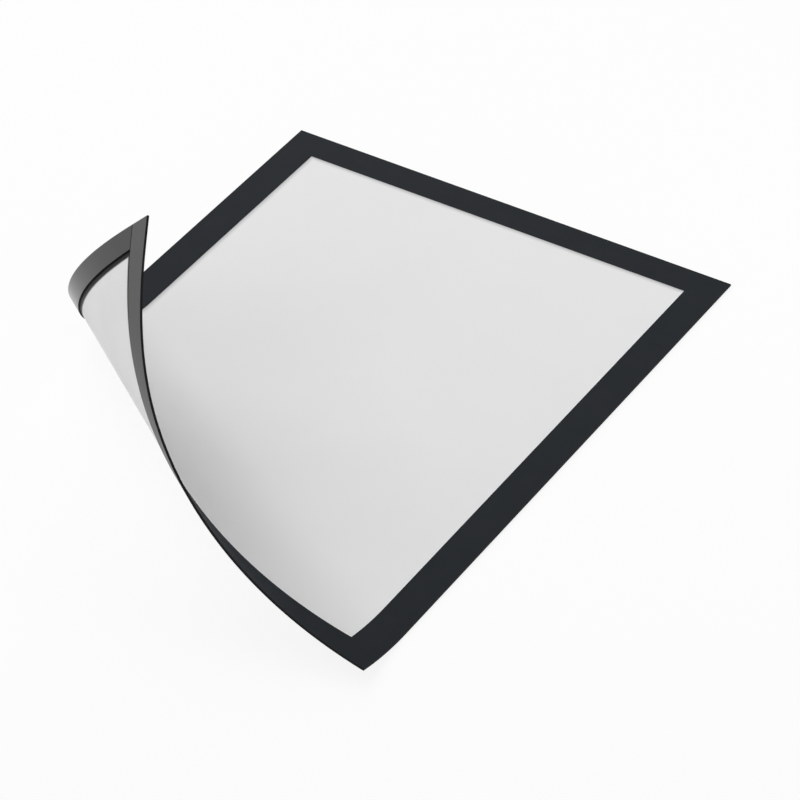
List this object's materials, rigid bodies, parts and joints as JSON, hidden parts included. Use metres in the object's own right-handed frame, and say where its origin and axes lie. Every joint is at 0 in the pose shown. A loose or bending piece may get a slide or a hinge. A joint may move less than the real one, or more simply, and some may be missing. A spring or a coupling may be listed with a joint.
{
  "type": "magnetic picture frame",
  "caption": "Flexible magnetic picture frame: a frosted window sheet with a dark border and magnet strips round its back, one corner peeled up and rolled over.",
  "frame": {"origin": "middle of the top magnet strip's back face, which lies on the board", "axes": "+X to the right edge seen from the front, +Y to the top edge, +Z out of the front"},
  "size_m": [0.2365, 0.3228, 0.1161],
  "materials": {
    "film": "satin",
    "border": "matte",
    "magnet": "satin",
    "tape": "matte"
  },
  "bodies": {
    "flat_panel": {"window_film": "film", "border_foil": "border", "magnet_strip_top": "magnet", "adhesive_tape_top": "tape", "magnet_strip_left": "magnet", "adhesive_tape_left": "tape", "magnet_strip_right": "magnet", "adhesive_tape_right": "tape"},
    "bend_01": {"window_film_bend_01": "film", "border_foil_left_bend_01": "border", "border_foil_bottom_bend_01": "border", "magnet_strip_bottom_bend_01": "magnet", "adhesive_tape_bottom_bend_01": "tape", "magnet_strip_left_bend_01": "magnet", "adhesive_tape_left_bend_01": "tape", "magnet_strip_right_bend_01": "magnet", "adhesive_tape_right_bend_01": "tape"},
    "bend_02": {"window_film_bend_02": "film", "border_foil_left_bend_02": "border", "border_foil_bottom_bend_02": "border", "magnet_strip_bottom_bend_02": "magnet", "adhesive_tape_bottom_bend_02": "tape", "magnet_strip_left_bend_02": "magnet", "adhesive_tape_left_bend_02": "tape"},
    "bend_03": {"window_film_bend_03": "film", "border_foil_left_bend_03": "border", "border_foil_bottom_bend_03": "border", "magnet_strip_bottom_bend_03": "magnet", "adhesive_tape_bottom_bend_03": "tape", "magnet_strip_left_bend_03": "magnet", "adhesive_tape_left_bend_03": "tape"},
    "bend_04": {"window_film_bend_04": "film", "border_foil_left_bend_04": "border", "border_foil_bottom_bend_04": "border", "magnet_strip_bottom_bend_04": "magnet", "adhesive_tape_bottom_bend_04": "tape", "magnet_strip_left_bend_04": "magnet", "adhesive_tape_left_bend_04": "tape"},
    "bend_05": {"window_film_bend_05": "film", "border_foil_left_bend_05": "border", "border_foil_bottom_bend_05": "border", "magnet_strip_bottom_bend_05": "magnet", "adhesive_tape_bottom_bend_05": "tape", "magnet_strip_left_bend_05": "magnet", "adhesive_tape_left_bend_05": "tape"},
    "bend_06": {"window_film_bend_06": "film", "border_foil_left_bend_06": "border", "border_foil_bottom_bend_06": "border", "magnet_strip_bottom_bend_06": "magnet", "adhesive_tape_bottom_bend_06": "tape", "magnet_strip_left_bend_06": "magnet", "adhesive_tape_left_bend_06": "tape"},
    "bend_07": {"window_film_bend_07": "film", "border_foil_bend_07": "border", "magnet_strip_bottom_bend_07": "magnet", "adhesive_tape_bottom_bend_07": "tape", "magnet_strip_left_bend_07": "magnet", "adhesive_tape_left_bend_07": "tape"}
  },
  "joints": [
    {"name": "corner_peel", "type": "hinge", "parent": "flat_panel", "child": "bend_01", "pos_m": [0.00002, -0.22184, 0.00154], "axis": [-0.8419, 0.5396, -0.0012], "range_deg": [-17.38, 4]},
    {"name": "bend_hinge_02", "type": "hinge", "parent": "bend_01", "child": "bend_02", "pos_m": [-0.00635, -0.23929, 0.00724], "axis": [-0.8233, 0.5675, -0.0117], "range_deg": [-17.38, 4]},
    {"name": "bend_hinge_03", "type": "hinge", "parent": "bend_02", "child": "bend_03", "pos_m": [-0.02445, -0.24539, 0.01774], "axis": [-0.8063, 0.5907, -0.0317], "range_deg": [-17.38, 4]},
    {"name": "bend_hinge_04", "type": "hinge", "parent": "bend_03", "child": "bend_04", "pos_m": [-0.03864, -0.2489, 0.03193], "axis": [-0.7924, 0.6071, -0.0594], "range_deg": [-17.38, 4]},
    {"name": "bend_hinge_05", "type": "hinge", "parent": "bend_04", "child": "bend_05", "pos_m": [-0.04861, -0.24921, 0.04846], "axis": [-0.7829, 0.6153, -0.0921], "range_deg": [-17.38, 4]},
    {"name": "bend_hinge_06", "type": "hinge", "parent": "bend_05", "child": "bend_06", "pos_m": [-0.05418, -0.24604, 0.06591], "axis": [-0.7788, 0.6143, -0.127], "range_deg": [-17.38, 4]},
    {"name": "bend_hinge_07", "type": "hinge", "parent": "bend_06", "child": "bend_07", "pos_m": [-0.05527, -0.23741, 0.08797], "axis": [-0.7809, 0.6008, -0.1711], "range_deg": [-17.38, 4]}
  ],
  "couplings": [
    {"joint": "bend_hinge_02", "follows": "corner_peel", "ratio": 1},
    {"joint": "bend_hinge_03", "follows": "corner_peel", "ratio": 1},
    {"joint": "bend_hinge_04", "follows": "corner_peel", "ratio": 1},
    {"joint": "bend_hinge_05", "follows": "corner_peel", "ratio": 1},
    {"joint": "bend_hinge_06", "follows": "corner_peel", "ratio": 1},
    {"joint": "bend_hinge_07", "follows": "corner_peel", "ratio": 1}
  ]
}
